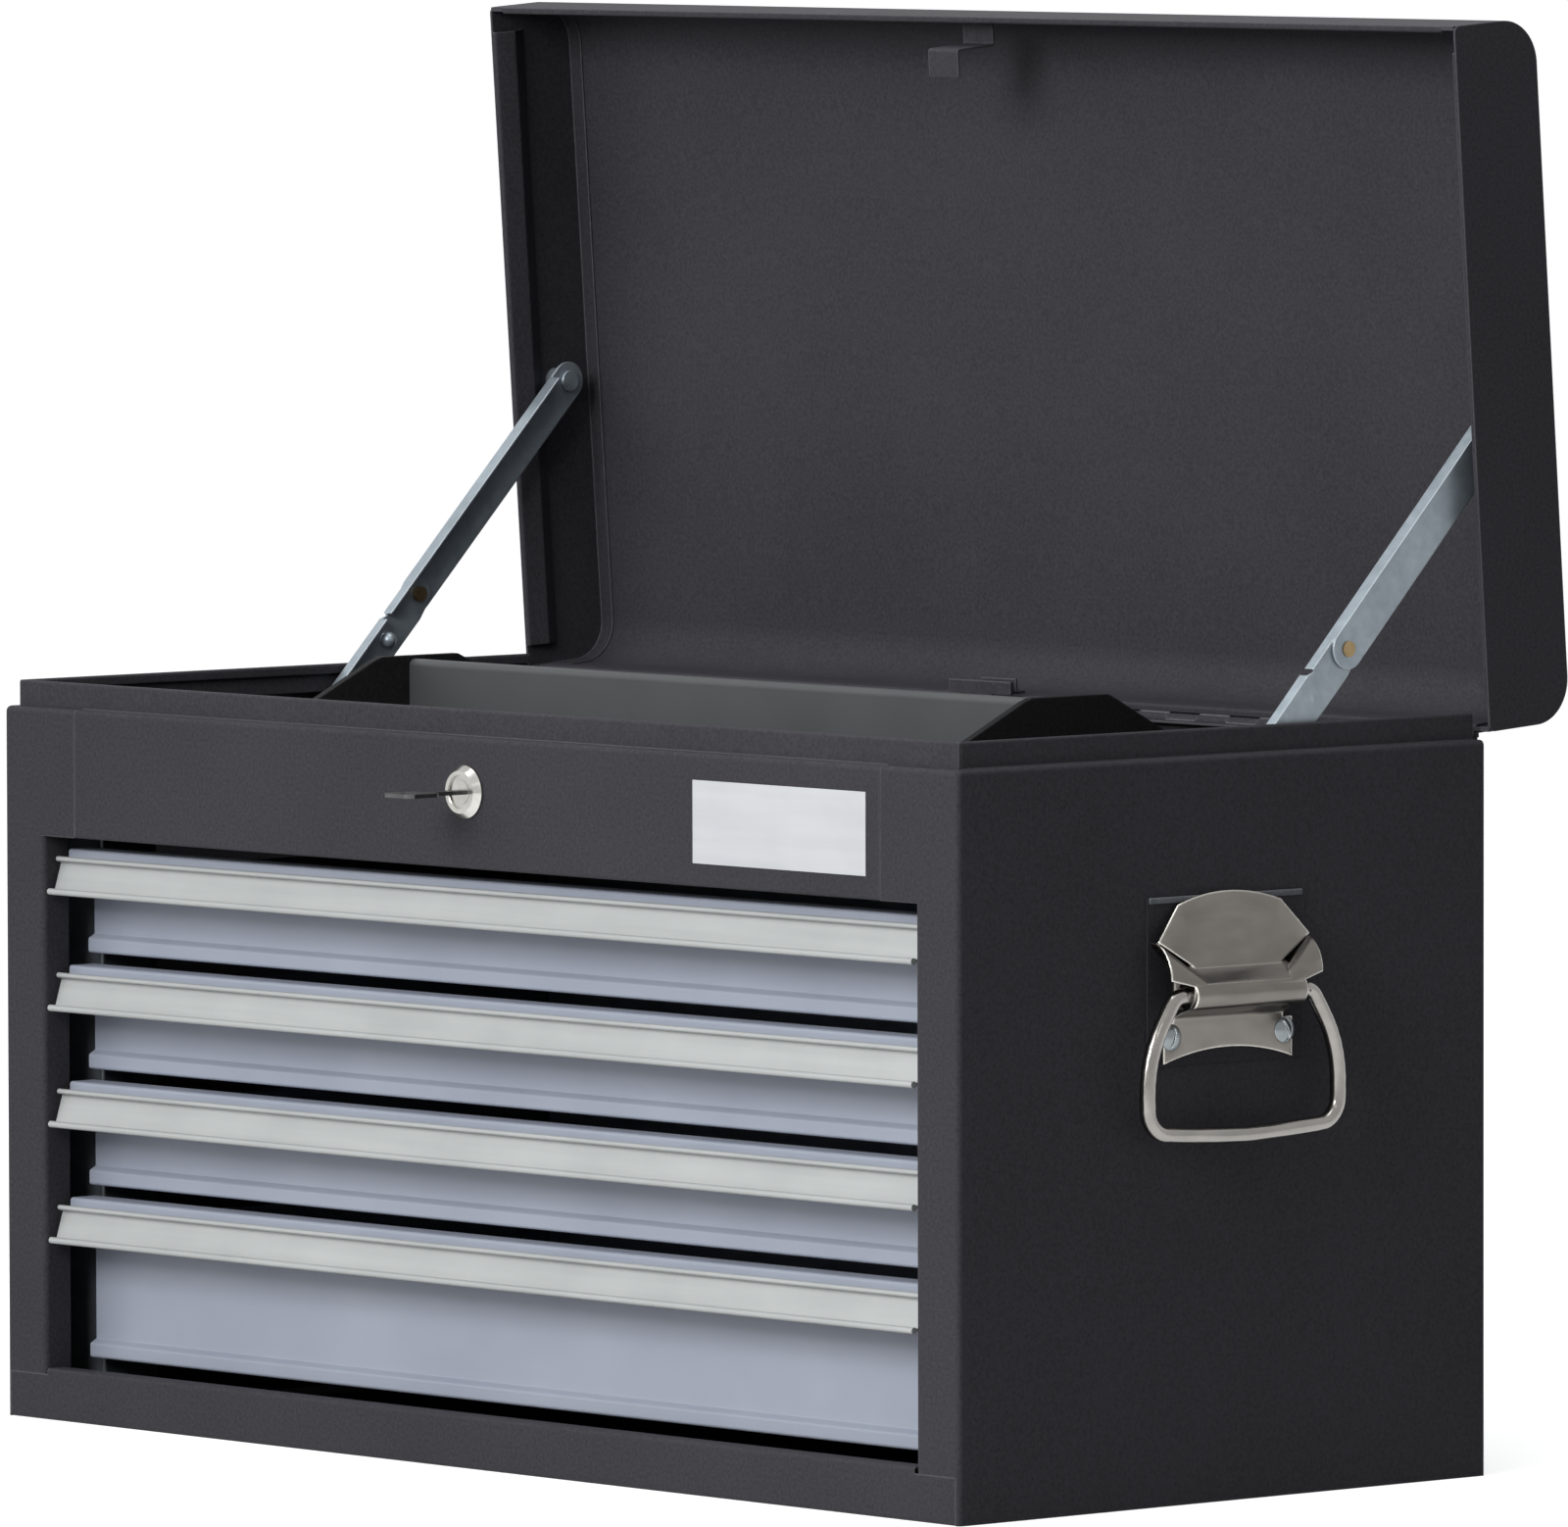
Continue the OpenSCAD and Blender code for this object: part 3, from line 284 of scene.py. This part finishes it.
def enamel(name, low, high, roughness):
    """Smooth satin enamel with a faint cloud in its colour."""
    material, nt, shader, place = new_finish(name)
    cloud = noise(nt, place, 14, 5)
    peel = noise(nt, place, 330, 2)
    nt.links.new(two_tone(nt, cloud, low, high, 0.3), shader.inputs["Base Color"])
    shader.inputs["Roughness"].default_value = roughness
    shader.inputs["Specular IOR Level"].default_value = 0.35
    relief(nt, shader, peel, 0.12, 0.0003)
    return material


blue_grey = enamel("blue_grey_enamel", (0.265, 0.290, 0.352), (0.302, 0.328, 0.390), 0.42)
for i in range(1, drawer_count + 1):
    dress(f"drawer_{i}_box", blue_grey)
    dress(f"drawer_{i}_front", blue_grey)

# ------------------------------------------------------------------ drawer pulls
# Pulls are rolled strip with a satin silver skin, drawn lengthways, so the grain runs along X.
# Each grips the turned-down edge of its face's shelf.
def drawn_metal(name, low, high, roughness, stretch, metallic=1.0, rim_highlight=None, highlight_width=0.0009):
    """Bare or plated metal with streaks along the stretched axis, and a painted highlight along its edges
    where one is given.
    """
    material, nt, shader, place = new_finish(name)
    scale = nt.nodes.new("ShaderNodeMapping")
    scale.inputs["Scale"].default_value = stretch
    nt.links.new(place, scale.inputs["Vector"])
    streak = noise(nt, scale.outputs[0], 160, 6)
    cloud = noise(nt, place, 22, 4)
    wear = blend_noise(nt, streak, cloud, 0.5)
    colour = two_tone(nt, wear, low, high, 0.32)
    soft_normal = None
    # Painted highlight: a lighter colour mixed in near the edges.
    if rim_highlight:
        soft_normal, near = folded_edges(nt, highlight_width, 8)
        colour = edge_highlight(nt, near, colour, rim_highlight)
    nt.links.new(colour, shader.inputs["Base Color"])
    uneven_roughness(nt, shader, wear, roughness - 0.07, roughness + 0.09)
    shader.inputs["Metallic"].default_value = metallic
    relief(nt, shader, streak, 0.10, 0.0002, soft_normal)
    return material


pull_skin = drawn_metal(
    "satin_silver_strip", (0.303, 0.316, 0.314), (0.372, 0.386, 0.383), 0.5, (0.05, 1, 1),
    metallic=0.25,
)
for i in range(1, drawer_count + 1):
    dress(f"drawer_{i}_pull", pull_skin)

# ------------------------------------------------------------------ slides, stays and small steel parts
# Slides and their uprights are bare oiled steel. Stay links, studs, lock cam and nut are zinc plated.
# The catch, lock bar, bracket and hinge pin went through the same coat as the case.
even = (1, 1, 1)
# Zinc plate and slide steel both get a painted highlight, a lighter colour near their edges.
zinc_plate = drawn_metal(
    "zinc_plate", (0.21, 0.25, 0.28), (0.32, 0.37, 0.41), 0.38, even,
    metallic=0.5, rim_highlight=(0.50, 0.54, 0.58),
)
slide_steel = drawn_metal(
    "oiled_slide_steel", (0.075, 0.085, 0.095), (0.125, 0.14, 0.155), 0.36, (0.4, 1, 1),
    metallic=0.5, rim_highlight=(0.26, 0.28, 0.30),
)
for i in range(1, drawer_count + 1):
    dress(f"drawer_{i}_rails", slide_steel)
    dress(f"drawer_{i}_runners", slide_steel)
dress("slide_uprights_left", slide_steel)
dress("slide_uprights_right", slide_steel)
plated = ["stay_case_studs", "stay_lid_studs",
          "stay_upper_left", "stay_upper_right", "stay_lower_left", "stay_lower_right",
          "lock_cam", "lock_nut"]
for name in plated:
    dress(name, zinc_plate)
for name in ["lid_catch", "drawer_lock_bar", "lock_lift_bracket", "hinge_pin"]:
    dress(name, black_coat)
brass = drawn_metal("rivet_brass", (0.20, 0.145, 0.075), (0.34, 0.25, 0.14), 0.34, even)
dress("stay_elbow_left", brass)
dress("stay_elbow_right", brass)

# ------------------------------------------------------------------ side handles
# A nickel plated hood and bail on a coated backing plate held by zinc screws; the hood's bright edges are a
# painted highlight.
# Hood and bail start from the imported shape, merged, with edges broken or curves smoothed.
smooth_below = math.radians(38)


def finished_copy(node, body, material, edge=0.0003, smooth_levels=0):
    """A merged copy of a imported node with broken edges, which stands in for the node."""
    mesh = nodes[node].data.copy()
    piece = bpy.data.objects.new(f"{node}_finished", mesh)
    bpy.context.collection.objects.link(piece)
    mesh.materials.clear()
    mesh.materials.append(material)
    bpy.ops.object.select_all(action="DESELECT")
    bpy.context.view_layer.objects.active = piece
    piece.select_set(True)
    bpy.ops.object.mode_set(mode="EDIT")
    bpy.ops.mesh.select_all(action="SELECT")
    bpy.ops.mesh.remove_doubles(threshold=0.00001)
    bpy.ops.mesh.normals_make_consistent(inside=False)
    bpy.ops.object.mode_set(mode="OBJECT")
    if edge:
        bpy.ops.object.modifier_add(type="BEVEL")
        bevel = piece.modifiers[-1]
        bevel.width = edge
        bevel.segments = 2
        bevel.limit_method = "ANGLE"
        bevel.angle_limit = math.radians(35)
        bpy.ops.object.modifier_apply(modifier=bevel.name)
    if smooth_levels:
        bpy.ops.object.modifier_add(type="SUBSURF")
        subdivided = piece.modifiers[-1]
        subdivided.levels = smooth_levels
        subdivided.render_levels = smooth_levels
        bpy.ops.object.modifier_apply(modifier=subdivided.name)
    bpy.ops.object.shade_smooth_by_angle(angle=smooth_below)
    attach(piece, body)
    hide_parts(node)
    return piece


def rounded_block(name, centre, size, edge):
    """A rectangular piece with rounded edges, its place kept in its mesh."""
    bpy.ops.object.select_all(action="DESELECT")
    bpy.ops.mesh.primitive_cube_add(size=1, location=centre)
    block = bpy.context.object
    block.name = name
    block.scale = size
    bpy.ops.object.transform_apply(location=True, rotation=True, scale=True)
    bpy.ops.object.modifier_add(type="BEVEL")
    block.modifiers["Bevel"].width = edge
    block.modifiers["Bevel"].segments = 3
    bpy.ops.object.modifier_apply(modifier="Bevel")
    return block


# The hood's lighter edge colour is a painted highlight.
nickel = drawn_metal(
    "nickel_painted_edge_highlight", (0.125, 0.117, 0.107), (0.178, 0.167, 0.153), 0.25, (1, 0.3, 1),
    rim_highlight=(0.66, 0.64, 0.59), highlight_width=0.0014,
)
backing_coat = powder_coat(
    "backing_plate_coat", (0.026, 0.025, 0.028), (0.040, 0.039, 0.044), (0.046, 0.045, 0.051)
)
dress("handle_backing_left", backing_coat)
dress("handle_backing_right", backing_coat)
# Painted highlight: the lip's coat is much lighter than the backing plate's.
lip_highlight_coat = powder_coat("lip_coat_painted_highlight", (0.10, 0.108, 0.118), (0.15, 0.158, 0.17), (0.2, 0.21, 0.22))
wire = drawn_metal("bright_nickel_wire", (0.17, 0.162, 0.148), (0.26, 0.248, 0.23), 0.2, (1, 0.3, 1))
wire.node_tree.nodes["Principled BSDF"].inputs["Coat Weight"].default_value = 1.0
wire.node_tree.nodes["Principled BSDF"].inputs["Coat Roughness"].default_value = 0.08
for side in ("left", "right"):
    finished_copy(f"handle_plate_{side}", "case", nickel, edge=0.00035)
    finished_copy(f"bail_{side}", f"bail_{side}", wire, edge=0, smooth_levels=1)

# The backing plate's top edge is turned out as a narrow lip. Its light grey coat is a painted highlight,
# where the top edge catches the light.
lip_out = 0.0012
lip_height = 0.0028
lip_short = 0.002
for side in ("left", "right"):
    low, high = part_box(f"handle_backing_{side}")
    out_x = high[0] if side == "right" else low[0]
    lip = rounded_block(
        f"backing_lip_{side}",
        (out_x, 0, high[2] - lip_height / 2),
        (lip_out, high[1] - low[1] - lip_short, lip_height),
        edge=0.0005,
    )
    bpy.ops.object.shade_smooth_by_angle(angle=smooth_below)
    lip.data.materials.append(lip_highlight_coat)
    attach(lip, "case")
# The screws' lighter edges are a painted highlight.
bright = drawn_metal(
    "bright_zinc_screw", (0.15, 0.168, 0.176), (0.24, 0.262, 0.274), 0.22, even,
    rim_highlight=(0.6, 0.63, 0.65), highlight_width=0.0006,
)
dress("handle_screws", bright)

# ------------------------------------------------------------------ lock and key
# A turned and chromed lock ring with its plug, and a flat steel key.
# A nut behind the header holds the lock.
chrome = drawn_metal("lock_chrome", (0.36, 0.355, 0.34), (0.54, 0.53, 0.50), 0.2, even)
dress("lock_body", chrome)
dress("lock_plug", chrome)
key_steel = drawn_metal("dull_key_steel", (0.05, 0.05, 0.052), (0.12, 0.12, 0.122), 0.38, even)
dress("key", key_steel)

# ------------------------------------------------------------------ tote tray
# The lift-out tray is folded sheet in dark grey enamel between two end plates of the same dark grey. The end
# plates carry the folded sheet handle that runs along it; their near-black coat is painted shade.
tote_grey = enamel("tote_grey_enamel", (0.044, 0.046, 0.049), (0.058, 0.060, 0.063), 0.5)
dress("tote_tray", tote_grey)
dress("tote_handle", tote_grey)
# Painted shade: the end plates' coat is darker than the tray's own grey.
tote_end_shade_coat = powder_coat("tote_end_painted_shade", (0.010, 0.010, 0.011), (0.018, 0.018, 0.019), (0.03, 0.03, 0.032))
dress("tote_ends", tote_end_shade_coat)

# ------------------------------------------------------------------ label plate
# A thin bare metal plate glued to the front header, right of the lock.
# Its edges are eased, and its brushed grain runs along X.
plate_x = (0.155, 0.270)
plate_z = (0.281, 0.318)
plate_t = 0.0005
front_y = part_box("front_header")[0][1]
plate = rounded_block(
    "label_plate",
    (sum(plate_x) / 2, front_y - plate_t / 2, sum(plate_z) / 2),
    (plate_x[1] - plate_x[0], plate_t, plate_z[1] - plate_z[0]),
    edge=0.00018,
)
label_skin = drawn_metal(
    "bare_label_silver", (0.41, 0.42, 0.44), (0.48, 0.49, 0.51), 0.42, (0.08, 1, 1),
    metallic=0.3,
)
plate.data.materials.append(label_skin)
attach(plate, "case")
